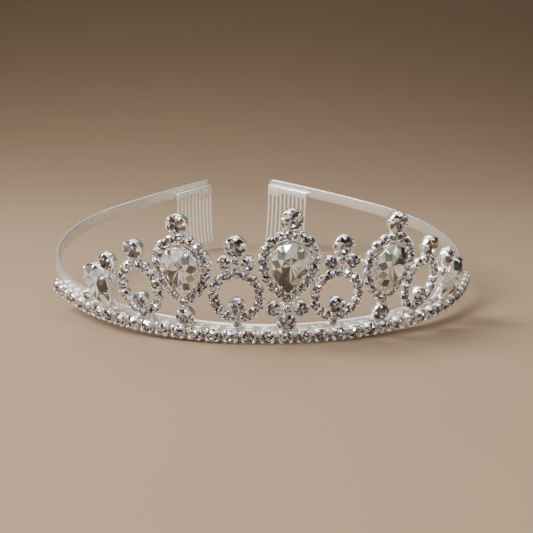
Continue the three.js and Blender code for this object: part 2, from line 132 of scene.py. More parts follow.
class Piece:
    """The points and faces of one piece while it is put together, in the strip's frame."""

    def __init__(self, name, side=1):
        self.name = name
        self.side = side
        self.points, self.faces, self.lights, self.lays = [], [], [], []
        self.count = 0

    def add(self, points, faces, place=None, lights=None, lay=None):
        """Adds a surface at a place, with each facet's painted reflection and each point's own coordinate.
        """
        points = np.asarray(points, float).reshape(-1, 3)
        self.points.append(points if place is None else moved(points, place))
        self.faces += [[i + self.count for i in face] for face in faces]
        self.lights += list(lights) if lights is not None else [math.nan] * len(faces)
        self.lays.append(points if lay is None else np.asarray(lay, float).reshape(-1, 3))
        self.count += len(points)

    def sweep(self, rings, place=None, lay=None):
        """Adds a surface through rings of points; a first or last ring of one repeated point closes it."""
        self.add(rings, grid_faces(*np.shape(rings)[:2]), place, lay=lay)

    def make(self, finish, slot, node, smooth_below=None):
        """Lays the piece on the table as a mesh with closed seams, which stands for a CAD node.

        Edges flatter than smooth_below degrees are smoothed. A facet without a painted reflection of its own
        gets one by chance.
        """
        flip = np.diag([self.side, 1, 1, 1])
        points = moved(np.concatenate(self.points), lay_down @ flip)
        faces = self.faces if self.side > 0 else [face[::-1] for face in self.faces]
        mesh = bpy.data.meshes.new(self.name)
        mesh.from_pydata(points.tolist(), [], faces)
        mesh.attributes.new("lay", "FLOAT_VECTOR", "POINT").data.foreach_set(
            "vector", np.concatenate(self.lays).astype(np.float32).ravel())
        # Facet values are painted reflection tones, which the crystal finishes show as colour.
        chance = np.random.default_rng(sum(map(ord, self.name))).random(len(faces))
        lights = np.where(np.isnan(self.lights), chance, self.lights).astype(np.float32)
        mesh.attributes.new("facet", "FLOAT", "FACE").data.foreach_set("value", lights)
        weld(mesh)
        mesh.materials.append(finish.material)
        if smooth_below is not None:
            mesh.polygons.foreach_set("use_smooth", np.ones(len(mesh.polygons), bool))
            mesh.set_sharp_from_angle(angle=math.radians(smooth_below))
        piece = bpy.data.objects.new(self.name, mesh)
        bpy.context.scene.collection.objects.link(piece)
        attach(piece, "root")
        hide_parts(node)


TENTH_MICRON = 1e-7


def weld(mesh):
    """Merges points closer than a tenth of a micron, so that seams and poles are closed."""
    work = bmesh.new()
    work.from_mesh(mesh)
    bmesh.ops.remove_doubles(work, verts=work.verts, dist=TENTH_MICRON)
    bmesh.ops.dissolve_degenerate(work, dist=TENTH_MICRON, edges=work.edges)
    work.to_mesh(mesh)
    work.free()


class Shade:
    """A number in a material's nodes. Arithmetic on it adds Math nodes."""

    def __init__(self, finish, socket):
        self.finish = finish
        self.socket = socket

    def maths(self, operation, first, second):
        """One Math node on two numbers."""
        return self.finish.node("ShaderNodeMath", {"operation": operation}, {0: first, 1: second})

    def __add__(self, other):
        return self.maths("ADD", self, other)

    def __mul__(self, other):
        return self.maths("MULTIPLY", self, other)

    def __sub__(self, other):
        return self.maths("SUBTRACT", self, other)

    def __rsub__(self, other):
        return self.maths("SUBTRACT", other, self)

    def __pow__(self, other):
        return self.maths("POWER", self, other)

    __radd__ = __add__
    __rmul__ = __mul__


class Finish:
    """A material, made of a surface shader with its constants and of the nodes that vary it."""

    def __init__(self, name, **constants):
        self.material = bpy.data.materials.new(name)
        self.material.use_nodes = True
        self.tree = self.material.node_tree
        self.shader = self.tree.nodes["Principled BSDF"]
        for socket, value in constants.items():
            self.shader.inputs[socket.replace("_", " ")].default_value = value

    def node(self, kind, settings=None, inputs=None, output=0):
        """Adds a node: first its settings, a ramp's stops among them, then its sockets' values or links."""
        made = self.tree.nodes.new(kind)
        for name, value in (settings or {}).items():
            if name == "stops":
                for stop in value[2:]:
                    made.color_ramp.elements.new(stop[0])
                for element, (place, colour) in zip(made.color_ramp.elements, value):
                    element.position = place
                    element.color = (*colour, 1)
            else:
                setattr(made, name, value)
        for socket, value in (inputs or {}).items():
            if isinstance(value, Shade):
                self.tree.links.new(value.socket, made.inputs[socket])
            else:
                made.inputs[socket].default_value = value
        return Shade(self, made.outputs[output])

    def feed(self, **values):
        """Links values that change over the surface to the shader."""
        for socket, value in values.items():
            self.tree.links.new(value.socket, self.shader.inputs[socket.replace("_", " ")])
        return self

    def coordinate(self, attribute=None):
        """The point's place on the object, or an attribute of the mesh."""
        if attribute:
            return self.node("ShaderNodeAttribute", {"attribute_name": attribute}, output="Vector")
        return self.node("ShaderNodeTexCoord", output="Object")

    def stretched(self, coordinate, scale):
        """A coordinate scaled by axis."""
        return self.node("ShaderNodeMapping", {}, {"Vector": coordinate, "Scale": scale})

    def noise(self, coordinate, scale, detail):
        """Soft random patches, so many to the unit of length, with finer octaves by detail."""
        inputs = {"Vector": coordinate, "Scale": scale, "Detail": detail, "Roughness": 0.55}
        return self.node("ShaderNodeTexNoise", {}, inputs, "Fac")

    def blend(self, factor, low, high):
        """A colour between two."""
        inputs = {0: factor, 6: low, 7: high}
        return self.node("ShaderNodeMix", {"data_type": "RGBA"}, inputs, 2)

    def relief(self, height, depth, strength):
        """A surface raised by height times depth, in metres."""
        return self.node("ShaderNodeBump", {}, {"Height": height, "Distance": depth, "Strength": strength})


def satin_silver(name, shine):
    """Plate rubbed along the strip: fine drawn lines, cloudy handling marks and a few glossier scuffs."""
    finish = Finish(name, Metallic=shine)
    lay = finish.coordinate("lay")
    place = finish.coordinate()
    drawn = finish.noise(finish.stretched(lay, (0.12, 5, 5)), 1.2, 2)
    clouds = finish.noise(place, 70, 3)
    scuffs = finish.noise(place, 260, 2) ** 4
    return finish.feed(
        Base_Color=finish.blend(clouds, (0.88, 0.86, 0.83, 1), (0.78, 0.75, 0.71, 1)),
        Roughness=0.25 + 0.05 * clouds + 0.02 * drawn - 0.06 * scuffs,
        Normal=finish.relief(clouds, 0.00001, 0.05),
    )


def soft_box(width, height, edge, corner_steps=3):
    """A rectangle's outline with quarter-round corners: corner centre plus edge radius at even angles."""
    quarter = np.linspace(0, math.pi / 2, corner_steps + 1)
    corners = [(1, 1), (-1, 1), (-1, -1), (1, -1)]
    parts = []
    for turn, (sx, sy) in enumerate(corners):
        angle = quarter + turn * math.pi / 2
        centre = np.array([sx * (width / 2 - edge), sy * (height / 2 - edge)])
        parts.append(centre + edge * np.stack([np.cos(angle), np.sin(angle)], -1))
    return np.concatenate(parts)


def capped(rings):
    """Closes a run of rings at both ends with each end ring's own middle point."""
    first = np.repeat(rings[:1].mean(1, keepdims=True), rings.shape[1], 1)
    last = np.repeat(rings[-1:].mean(1, keepdims=True), rings.shape[1], 1)
    return np.concatenate([first, rings, last])


def along_strip(s, outline):
    """Carries an outline of (outwards, up) points along the strip at arc lengths s, as rings of points."""
    x, y, heading = strip_line(s)
    normal = np.stack([np.sin(heading), -np.cos(heading)], -1)
    flat = np.stack([x, y], -1)[:, None, :] + normal[:, None, :] * outline[None, :, :1]
    height = np.broadcast_to(outline[None, :, 1:], (len(s), len(outline), 1))
    return np.concatenate([flat, height], -1)


# The two ends are rounded off: over the last edge radius the rings narrow by a quarter along a circle.
STRIP_STEPS = 401
END_NARROWING = 0.25
LAY_STEP = 0.65
strip = Piece("silver_strip")
strip_steps = np.linspace(-STRIP_HALF, STRIP_HALF, STRIP_STEPS)
strip_outline = soft_box(STRIP_THICK, STRIP_HIGH, STRIP_EDGE)[::-1]
ends = 1 - np.clip((np.abs(strip_steps) - STRIP_HALF + STRIP_EDGE) / STRIP_EDGE, 0, 1) ** 2
narrowing = 1 - END_NARROWING * (1 - np.sqrt(ends))
strip_rings = along_strip(strip_steps, strip_outline)
middles = strip_rings.mean(1, keepdims=True)
strip_rings = capped(middles + (strip_rings - middles) * narrowing[:, None, None])
along = np.concatenate([strip_steps[:1], strip_steps, strip_steps[-1:]])
around = np.arange(len(strip_outline)) * LAY_STEP
strip_lay = np.stack(np.broadcast_arrays(along[:, None], around[None, :], 0.0), -1)
strip.sweep(strip_rings, lay=strip_lay)
strip.make(satin_silver("satin_silver", 0.86), "satin_silver", "hoop_band", smooth_below=40)

# ---------------------------------------------------------------------------------------------------------
# The side combs: ten drawn wire teeth soldered under a flat rail on the inside of each end of the strip. The
# teeth stand proud of the rail with rounded heads, taper a little and curl in towards the hair.
RAIL_TOP = 0.1
RAIL_HIGH = 2.8
RAIL_EDGE = 0.25
LUG_LONG = 6
LUG_HIGH = 4.4
LUG_THICK = RAIL_THICK * 0.8
LUG_SET_IN = 0.16
TOOTH_SIDES = 10
TOOTH_START = RAIL_TOP - 0.15
TOOTH_PROUD = 0.25
TOOTH_TAPER = 0.18
HEAD_SHARE = 0.03
TIP_SHARE = 0.04
comb_finish = satin_silver("comb_silver", 0.66)


def seat_at(s, lean=0.0):
    """Matrix of a place on the strip: +X along it, +Y up and +Z out, turned outwards by the lean."""
    x, y, heading = (float(v) for v in strip_line(s))
    c, n = math.cos(heading), math.sin(heading)
    basis = np.array([[c, 0, n, x], [n, 0, -c, y], [0, 1, 0, 0], [0, 0, 0, 1]], float)
    return basis @ np.array(Matrix.Rotation(lean, 4, "X"))


def plate(width, height, thick, edge):
    """A flat plate with softened edges, facing +Z: its outline drawn in at each face by the edge radius."""
    rings = []
    for level, inset in ((-1, edge), (-1 + 2 * edge / thick, 0), (1 - 2 * edge / thick, 0), (1, edge)):
        outline = soft_box(width - 2 * inset, height - 2 * inset, 2 * edge)
        rings.append(np.column_stack([outline, np.full(len(outline), level * thick / 2)]))
    return capped(np.array(rings))


def tooth(x):
    """Rings of one tooth: circles across a line that runs down and then curls inwards as a cube.

    Their radius tapers with the way down and is rounded off as a half circle at the head and at the tip.
    """
    u = np.concatenate([[0, 0.004, 0.015, 0.03], np.linspace(0.06, 0.97, 16), [0.985, 0.996, 1]])
    down = TOOTH_START - u * (COMB_DEEP + TOOTH_START)
    inward = tooth_plane - TOOTH_PROUD - (COMB_CURL - TOOTH_PROUD) * u ** 3
    head = np.sqrt(np.clip(1 - (1 - np.clip(u / HEAD_SHARE, 0, 1)) ** 2, 0, 1))
    tip = np.sqrt(np.clip(1 - np.clip((u - 1 + TIP_SHARE) / TIP_SHARE, 0, 1) ** 2, 0, 1))
    r = TOOTH_THICK / 2 * (1 - TOOTH_TAPER * u) * head * tip
    angle = np.arange(TOOTH_SIDES) * 2 * math.pi / TOOTH_SIDES
    px = x + r[:, None] * np.cos(angle)
    pz = inward[:, None] + r[:, None] * np.sin(angle)
    py = np.broadcast_to(down[:, None], px.shape)
    return np.stack([px, py, pz], -1)[::-1]


for side, sign in (("right", 1), ("left", -1)):
    comb = Piece("hair_comb_" + side, sign)
    seat = seat_at(comb_middle)
    rail = plate(comb_length, RAIL_HIGH, RAIL_THICK, RAIL_EDGE)
    comb.sweep(rail + (0, RAIL_TOP - RAIL_HIGH / 2, tooth_plane), seat)
    lug = plate(LUG_LONG, LUG_HIGH, LUG_THICK, RAIL_EDGE)
    lug_place = ((comb_length - LUG_LONG) / 2, RAIL_TOP - LUG_HIGH / 2, tooth_plane - LUG_SET_IN)
    comb.sweep(lug + lug_place, seat)
    for i in range(TEETH):
        comb.sweep(tooth((i - (TEETH - 1) / 2) * TOOTH_PITCH), seat)
    comb.make(comb_finish, "satin_silver", "side_comb_" + side, smooth_below=50)

# ---------------------------------------------------------------------------------------------------------
# Crystals: pressed and polished glass with a foiled back. Each facet's colour is a painted reflection: one
# tone from near black through amber and grey to white, with a few painted sparks of blue, standing in for
# what the silvered pavilion throws back through the flat crown.
TABLE_SHARE = 0.52
STAR_SHARE = 0.76
HEART_SHARE = 0.27
HEART_SINK = 0.55
KEEL_SHARE = 0.34


def crystal(name, tones, silvering):
    """Foiled glass under a gloss: each facet takes one of the tones, listed by the share where each starts.

    Each tone is a painted reflection. A fine haze greys each tone a little and makes the gloss uneven.
    """
    finish = Finish(name, Metallic=silvering, Coat_Weight=1.0, Coat_IOR=1.7, Coat_Roughness=0.015)
    facet = finish.node("ShaderNodeAttribute", {"attribute_name": "facet"}, output="Fac")
    # Painted reflection: each facet's colour is one tone standing in for what the foil throws back.
    painted_reflection = finish.node("ShaderNodeValToRGB", {"stops": tones}, {"Fac": facet})
    painted_reflection.socket.node.color_ramp.interpolation = "CONSTANT"
    haze = finish.noise(finish.coordinate(), 1500, 3)
    return finish.feed(
        Base_Color=finish.blend(haze * 0.3, painted_reflection, (0.34, 0.33, 0.34, 1)),
        Roughness=0.03 + 0.1 * haze,
    )


# The small stones' tones are painted reflections: dark and amber reflections, white glints and blue sparks.
small_crystal = crystal("small_crystal", [
    (0.0, (0.010, 0.007, 0.013)), (0.27, (0.93, 0.97, 1.0)), (0.40, (0.13, 0.10, 0.14)),
    (0.57, (0.74, 0.78, 0.90)), (0.71, (0.28, 0.10, 0.07)), (0.77, (0.98, 0.99, 1.0)),
    (0.90, (0.32, 0.50, 0.92)), (0.925, (0.04, 0.03, 0.05)),
], silvering=0.85)


def brilliant(outline, folds, crown, pavilion, dip, keel=(0.0, 0.0)):
    """Points and facets of a brilliant cut whose girdle follows an outline, a function of 0 to 1.

    Every ring is the outline drawn in towards the middle by its share. The crown's flat kites and triangles
    rise to the table, inside which the facets seen through it dip towards the heart. Below the girdle the
    pavilion's kites run to the culet. The middle may lie off the outline's own, at the keel.
    """
    even = np.arange(folds) / folds
    odd = even + 0.5 / folds
    slant = math.cos(math.pi / folds)
    middle = np.array(keel)

    def ring(turns, share, height):
        xy = middle + (outline(turns % 1) - middle) * share
        return np.column_stack([xy, np.full(len(xy), height)])

    star_height = crown * (1 - (STAR_SHARE * slant - TABLE_SHARE) / (1 - TABLE_SHARE))
    points = np.concatenate([
        [[*middle, -pavilion]],
        ring(odd, KEEL_SHARE, -pavilion * (1 - KEEL_SHARE * slant)),
        ring(np.arange(2 * folds) / (2 * folds), 1, 0),
        ring(odd, STAR_SHARE, star_height),
        ring(even, TABLE_SHARE, crown),
        ring(odd, HEART_SHARE, crown - dip * HEART_SINK),
        [[*middle, crown - dip]],
    ])
    keels, girdle, stars, table, hearts = (1 + folds * k for k in (0, 1, 3, 4, 5))
    faces = []
    for i in range(folds):
        before, after = (i - 1) % folds, (i + 1) % folds
        g0, g1, g2 = (girdle + (2 * i + k) % (2 * folds) for k in range(3))
        faces += [
            [hearts + folds, hearts + before, table + i],
            [hearts + folds, table + i, hearts + i],
            [hearts + i, table + i, table + after],
            [table + i, stars + i, table + after],
            [table + i, stars + before, g0, stars + i],
            [stars + i, g0, g1],
            [stars + i, g1, g2],
            [0, keels + i, g0, keels + before],
            [keels + i, g1, g0],
            [keels + i, g2, g1],
        ]
    return points, faces


def circle(turns):
    """Unit circle, counter-clockwise from +X."""
    return np.stack([np.cos(2 * math.pi * turns), np.sin(2 * math.pi * turns)], -1)


def bright_silver():
    """Polished plate on cast cups and claws: small soft dents, and yellower and duller where it is worn."""
    finish = Finish("bright_silver", Metallic=0.88)
    place = finish.coordinate()
    wear = finish.noise(place, 420, 4)
    dents = finish.noise(place, 1300, 2)
    return finish.feed(
        Base_Color=finish.blend(wear, (0.97, 0.97, 0.98, 1), (0.84, 0.82, 0.79, 1)),
        Roughness=0.13 + 0.2 * wear,
        Normal=finish.relief(dents, 0.00008, 0.35),
    )


silver = bright_silver()

# ---------------------------------------------------------------------------------------------------------
# The front row: a chain of square claw cups soldered along the strip, each with one crystal. Every cup has a
# claw bent in over each corner of its stone, and a short link joins it to the next cup.
ROW_STONES = 37
ROW_PITCH = 4
ROW_CUP = 3.3
ROW_WALL = 0.32
ROW_RIM = ROW_BACK + 1.5
ROW_SQUARENESS = 5
LINK_LONG, LINK_WIDE, LINK_THICK = 1.2, 1.2, 0.5
LINK_LEVEL = ROW_BACK + 0.4
CLAW_SIDES = 6
CUP_SLOPE = 0.2
quarters = math.pi / 4 + np.arange(4) * math.pi / 2


def squircle(size):
    """Outline function of a square with round corners: |x| and |y| to a power add up to a constant."""
    def outline(turns):
        ring = circle(turns)
        power = ROW_SQUARENESS
        return ring * (size / 2 / (np.abs(ring) ** power).sum(-1) ** (1 / power))[:, None]
    return outline


def round_of(diameter):
    """Outline function of a circle of that diameter."""
    return lambda turns: circle(turns) * diameter / 2


def cup(outline, grown, back, rim, steps):
    """Rings of a cup: its outline, grown by the wall, goes up the outside, over the lip and down inside.

    The wall draws in towards the back by the cup's slope times its depth.
    """
    base = outline(np.arange(steps) / steps)
    away = base / np.linalg.norm(base, axis=-1, keepdims=True)
    deep = rim - back
    drawn = CUP_SLOPE * deep
    levels = [
        (-0.35 - drawn, back), (grown - 0.12 - drawn, back), (grown - drawn, back + 0.12),
        (grown - 0.45 * drawn, back + deep * 0.5), (grown, rim - 0.15), (grown - 0.07, rim), (0.02, rim),
        (-0.05, rim - 0.12), (-0.3 - 0.5 * drawn, back + deep * 0.45),
    ]
    rings = [np.column_stack([base + away * push, np.full(steps, level)]) for push, level in levels]
    return capped(np.array(rings))


def claw(wide, thick, low, high, foot, over):
    """Rings of a claw in its own plane: it climbs at radius foot, then bends in as a cube by over.

    Each ring is an ellipse across the line, wide by thick, and the two ends are rounded off.
    """
    u = np.array([0, 0.05, 0.35, 0.6, 0.78, 0.9, 0.97, 1.0])
    size = np.array([0, 0.8, 1, 1, 0.95, 0.85, 0.55, 0])
    height = low + (high - low) * (1 - (1 - u) ** 1.7)
    radius = foot - over * u ** 3
    slope = np.arctan2(np.gradient(height), np.gradient(radius))
    angle = np.arange(CLAW_SIDES) * 2 * math.pi / CLAW_SIDES
    across = np.cos(angle)[None, :] * size[:, None] * wide / 2
    depth = np.sin(angle)[None, :] * size[:, None] * thick / 2
    x = radius[:, None] + depth * np.sin(slope)[:, None]
    z = height[:, None] - depth * np.cos(slope)[:, None]
    return np.stack([x, across, z], -1)


def turned(angle, x=0.0, y=0.0, z=0.0):
    """Matrix that turns about +Z and then shifts."""
    place = np.array(Matrix.Rotation(angle, 4, "Z"))
    place[:3, 3] = (x, y, z)
    return place


def bar(piece, place, start, end, wide, thick, level):
    """Adds a flat soldered bar with softened edges between two points of a plane."""
    (x0, y0), (x1, y1) = start, end
    length = math.hypot(x1 - x0, y1 - y0)
    middle = turned(math.atan2(y1 - y0, x1 - x0), (x0 + x1) / 2, (y0 + y1) / 2, level)
    piece.sweep(plate(length, wide, thick, min(0.15, thick / 3)), place @ middle)


def row_seat(s):
    """Matrix of a place in the row, which hangs below the strip's middle and falls towards the back."""
    seat = seat_at(s)
    seat[2, 3] = -ROW_DROP - ROW_FALL * seat[1, 3]
    return seat


row_cups = Piece("row_cup_chain")
row_gems = Piece("row_crystals")
row_places = (np.arange(ROW_STONES) - (ROW_STONES - 1) / 2) * ROW_PITCH
row_cup = cup(squircle(ROW_CUP - 2 * ROW_WALL), ROW_WALL, ROW_BACK, ROW_RIM, 20)
row_claw = claw(wide=0.95, thick=0.4, low=ROW_BACK + 0.5, high=ROW_RIM + 0.7, foot=ROW_CUP * 0.62, over=0.75)
row_gem = brilliant(round_of(ROW_CUP - 2 * ROW_WALL + 0.3), folds=8, crown=0.72, pavilion=1.2, dip=0.3)
row_spins = np.random.default_rng(4).random(ROW_STONES)
for s, spin in zip(row_places, row_spins):
    row_cups.sweep(row_cup, row_seat(s))
    for quarter in quarters:
        row_cups.sweep(row_claw, row_seat(s) @ turned(quarter))
    row_gems.add(*row_gem, row_seat(s) @ turned(spin, z=ROW_RIM + 0.05))
for s in row_places[:-1] + ROW_PITCH / 2:
    bar(row_cups, row_seat(s), (-LINK_LONG / 2, 0), (LINK_LONG / 2, 0), LINK_WIDE, LINK_THICK, LINK_LEVEL)
row_cups.make(silver, "bright_silver", "base_row_channel", smooth_below=45)
row_gems.make(small_crystal, "round_crystal", "base_row_stones")

# ---------------------------------------------------------------------------------------------------------
# The ornaments: cups, halo chains and rings of cast silver-plated metal, soldered to each other and to flat
# bars at the back. They stand on the strip's top edge in beads of solder and lean outwards. Claws hold every
# stone.
LEAN = math.radians(10)
FOOT = 2.156
CUP_DEEP = 2.2
CUP_WALL = 0.25
CUP_LAP = 0.12
BAR_WIDE = 1.1
BAR_THICK = 0.5
CHAIN_CUP = 2.5
CHAIN_PITCH = 2.42
CHAIN_GEM = 2.34
PEAR_WIDE = 8.2
PEAR_LONG = 12
PEAR_DEEP = 2.7
HALO_GAP = 1.6
CHAIN_DEEP = 1.45
SIX_CLAWS_ABOVE = 4
WIDE_CLAWS_ABOVE = 2.5
BEAD_SIDES = 14
BEAD_FLATNESS = 0.55
BEAD_DEEP = 0.5
back = (STRIP_THICK / 2 + SOLDER) / math.cos(LEAN)
pear_head = PEAR_WIDE / 2
pear_tip = PEAR_LONG - pear_head
flank_middle = (pear_tip ** 2 - pear_head ** 2) / (2 * pear_head)


def pear_of(margin):
    """Outline function of the pear grown by a margin, clockwise from its top at an even pace.

    A half circle about the origin runs into two long arcs whose centres lie level with it, and they meet at
    the tip below. Its length comes with it.
    """
    head, flank = pear_head + margin, pear_head + flank_middle + margin
    quarter, long_arc = head * math.pi / 2, flank * math.acos(flank_middle / flank)
    total = 2 * (quarter + long_arc)

    def outline(turns):
        way = np.asarray(turns) * total
        near = np.minimum(way, total - way)
        a, b = near / head, (near - quarter) / flank
        x = np.where(near < quarter, head * np.sin(a), flank * np.cos(b) - flank_middle)
        y = np.where(near < quarter, head * np.cos(a), -flank * np.sin(b))
        return np.stack([np.where(way > total / 2, -x, x), y], -1)
    return outline, total


def oval_of(width, height):
    """Outline function of an ellipse, clockwise from its top at an even pace, and its length."""
    angle = np.linspace(0, 2 * math.pi, 721)
    x, y = width / 2 * np.sin(angle), height / 2 * np.cos(angle)
    way = np.concatenate([[0], np.cumsum(np.hypot(np.diff(x), np.diff(y)))])

    def outline(turns):
        at = np.interp(np.asarray(turns) * way[-1], way, angle)
        return np.stack([width / 2 * np.sin(at), height / 2 * np.cos(at)], -1)
    return outline, way[-1]


def mirrored(outline):
    """The same outline the other way round, counter-clockwise."""
    return lambda turns: outline((1 - turns) % 1)


# The pears are less silvered than the small stones, with paler painted reflections, and each has one side
# of painted dark reflection.
pear_crystal = crystal("pear_crystal", [
    (0.0, (0.010, 0.008, 0.008)), (0.13, (0.20, 0.06, 0.025)), (0.22, (0.10, 0.09, 0.07)),
    (0.34, (0.34, 0.37, 0.32)), (0.48, (0.72, 0.80, 0.77)), (0.62, (1.0, 1.0, 1.0)),
], silvering=0.7)
WEDGE = 0.55


def pear_painted_reflections(cut, dark_reflection_side, chance):
    """Painted reflections of a pear's facets: light by chance, painted dark around one direction as a bell
    curve.
    """
    points, faces = cut
    middles = np.array([points[face].mean(0) for face in faces]) - points[0]
    away = (np.arctan2(middles[:, 1], middles[:, 0]) - dark_reflection_side + math.pi) % (2 * math.pi) - math.pi
    # Painted dark reflection: the facets around the dark side are darkened, as a bell curve.
    dark = np.exp(-(away / WEDGE) ** 2) * (0.85 + 0.5 * chance.random(len(faces)))
    return np.clip(0.25 + 0.75 * chance.random(len(faces)) - 0.85 * dark, 0, 0.999)


class Ornament:
    """One ornament in its own leaning plane: its silver in one piece, and each crystal node's stones."""

    def __init__(self, name, side, at):
        self.name, self.side = name, side
        self.sign = -1 if side == "left" else 1
        self.seat = seat_at(at, LEAN)
        self.silver = Piece(self.label("setting"), self.sign)
        self.spins = np.random.default_rng(len(name) * 7 + int(at))

    def label(self, part):
        """The name of a part: the ornament, the part and its side."""
        return "_".join(word for word in (self.name, part, self.side) if word)

    def gems(self, part, slot, cuts, finish=small_crystal):
        """Makes one crystal node's stones: each a cut, its place and, on a pear, its painted reflections."""
        stones = Piece(self.label(part + "_cut"), self.sign)
        for cut, place, *lights in cuts:
            stones.add(*cut, self.seat @ place, *lights)
        stones.make(finish, slot, self.label(part))

    def round(self, part, diameter, x, y, deep=CUP_DEEP):
        """A round stone in a cup with four claws, or six on a big one, whose sizes follow the diameter."""
        rim = back + deep
        spin = self.spins.random() * math.pi
        claws = 6 if diameter > SIX_CLAWS_ABOVE else 4
        place = turned(spin, x, y)
        self.silver.sweep(cup(round_of(diameter), CUP_WALL, back, rim, 24), self.seat @ place)
        wide, folds = (0.6, 9) if diameter > WIDE_CLAWS_ABOVE else (0.42, 7)
        foot = diameter / 2 + CUP_WALL - 0.1
        hook = claw(wide, thick=0.26, low=back + deep * 0.35, high=rim + 0.13 * diameter,
                    foot=foot, over=0.14 * diameter)
        for i in range(claws):
            self.silver.sweep(hook, self.seat @ place @ turned(2 * math.pi * i / claws))
        cut = brilliant(round_of(diameter + 0.1), folds, crown=diameter * 0.14, pavilion=diameter * 0.42,
                        dip=diameter * 0.15)
        self.gems(part, "round_crystal", [(cut, turned(spin + 0.3, x, y, rim - 0.02))])

    def pear(self, y, tilt, claws, dark_reflection_side):
        """A pear, tip down, in a cup with an even number of claws that leaves its tip and its top free."""
        rim = back + PEAR_DEEP
        place = turned(-tilt, 0, y)
        outline = pear_of(0)[0]
        self.silver.sweep(cup(mirrored(outline), CUP_WALL, back, rim, 48), self.seat @ place)
        hook = claw(wide=0.6, thick=0.34, low=back + 0.9, high=rim + 0.95, foot=CUP_WALL, over=1.0)
        for i in range(claws):
            foot = outline((i + 0.5) / claws)
            away = math.atan2(foot[1], foot[0])
            self.silver.sweep(hook, self.seat @ place @ turned(away, *foot))
        cut = brilliant(mirrored(outline), folds=10, crown=1.5, pavilion=1.9, dip=1.15, keel=(0, -0.8))
        lights = pear_painted_reflections(cut, dark_reflection_side, self.spins)
        self.gems("pear", "pear_crystal", [(cut, turned(-tilt, 0, y, rim - 0.05), lights)], pear_crystal)

    def chain(self, part, line, y):
        """A closed chain of small claw cups along an outline, each with a stone."""
        outline, length = line
        count = 2 * math.ceil(length / CHAIN_PITCH / 2)
        turns = np.arange(count) / count
        spots = outline(turns)
        step = outline((turns + 0.01) % 1) - outline((turns - 0.01) % 1)
        headings = np.arctan2(step[:, 1], step[:, 0])
        rim = back + CHAIN_DEEP
        small_cup = cup(round_of(CHAIN_GEM), (CHAIN_CUP - CHAIN_GEM) / 2, back, rim, 12)
        hook = claw(wide=0.36, thick=0.24, low=back + 0.8, high=rim + 0.6, foot=CHAIN_CUP / 2, over=0.34)
        cut = brilliant(round_of(CHAIN_GEM + 0.08), folds=6, crown=0.6, pavilion=0.95, dip=0.25)
        cuts = []
        for spot, heading in zip(spots, headings):
            place = turned(heading, spot[0], y + spot[1])
            self.silver.sweep(small_cup, self.seat @ place)
            for quarter in quarters:
                self.silver.sweep(hook, self.seat @ place @ turned(quarter))
            cuts.append((cut, turned(self.spins.random(), spot[0], y + spot[1], rim)))
        self.gems(part, "round_crystal", cuts)

    def bar(self, x0, y0, x1, y1):
        """A flat bar across the backs of the cups."""
        bar(self.silver, self.seat, (x0, y0), (x1, y1), BAR_WIDE, BAR_THICK, back + BAR_THICK / 2)

    def solder(self, x, size):
        """A bead of solder where a cup's foot meets the strip's top edge: a ball, flattened two ways."""
        level = np.linspace(-math.pi / 2, math.pi / 2, 9)
        angle = np.arange(BEAD_SIDES) * 2 * math.pi / BEAD_SIDES
        r = np.cos(level)[:, None] * size
        high = r * np.sin(angle) * BEAD_FLATNESS
        deep = np.broadcast_to(np.sin(level)[:, None] * BEAD_DEEP, high.shape)
        bead = np.stack([r * np.cos(angle), high, deep], -1)
        self.silver.sweep(bead, self.seat @ turned(0, x, FOOT, back + 0.15))

    def finish(self):
        """Makes the ornament's silver one piece."""
        self.silver.make(silver, "bright_silver", self.label("frame"), smooth_below=45)


def reach(diameter):
    """Half the pitch of a round stone and its neighbour, whose cups lap over each other a little."""
    return diameter / 2 + CUP_WALL - CUP_LAP / 2


def tip_reach(margin):
    """How far the grown pear's tip lies below the middle of its head: where its two flank arcs meet."""
    return math.sqrt((pear_head + flank_middle + margin) ** 2 - flank_middle ** 2)


# How far a halo's top and tip reach from the middle of its pear's head.
halo_top = pear_head + HALO_GAP + CHAIN_CUP / 2
halo_tip = tip_reach(HALO_GAP) + CHAIN_CUP / 2
TOP_GEM = 4.6
BASE_GEM = 4.2
SMALL_GEM = 1.9


def halo_pear(name, side, at, tip, dark_reflection_side):
    """A pear in a halo whose tip ends at a height, with a round stone on top."""
    ornament = Ornament(name, side, at)
    middle = tip + halo_tip
    top = middle + halo_top + reach(TOP_GEM)
    ornament.pear(middle, 0, claws=6, dark_reflection_side=dark_reflection_side)
    ornament.chain("halo_stones", pear_of(HALO_GAP), middle)
    ornament.round("top_stone", TOP_GEM, 0, top)
    ornament.bar(0, top, 0, tip)
    ornament.bar(-halo_top, middle, halo_top, middle)
    return ornament


# Centre ornament: its halo's tip stands on a cross of four round stones.
# The angle where the centre pear's painted dark reflection lies.
CENTRE_DARK_REFLECTION_SIDE = -2.1
CENTRE_SIDE_GEM = 3.3
CENTRE_SIDE_SPREAD = 3.05
base = FOOT + reach(BASE_GEM)
link = base + reach(BASE_GEM) + reach(SMALL_GEM)
centre = halo_pear("centre", "", 0, link + reach(SMALL_GEM), CENTRE_DARK_REFLECTION_SIDE)
centre.round("link_stone", SMALL_GEM, 0, link)
centre.round("base_stone", BASE_GEM, 0, base)
centre.round("side_stone_left", CENTRE_SIDE_GEM, -CENTRE_SIDE_SPREAD, link)
centre.round("side_stone_right", CENTRE_SIDE_GEM, CENTRE_SIDE_SPREAD, link)
centre.bar(-CENTRE_SIDE_SPREAD, link, CENTRE_SIDE_SPREAD, link)
centre.bar(0, base, 0, link + 2 * reach(SMALL_GEM))
centre.solder(0, size=1.5)
centre.finish()

# Side pears: the halo's tip stands straight on one round stone.
SIDE_PEAR_AT = 21.75
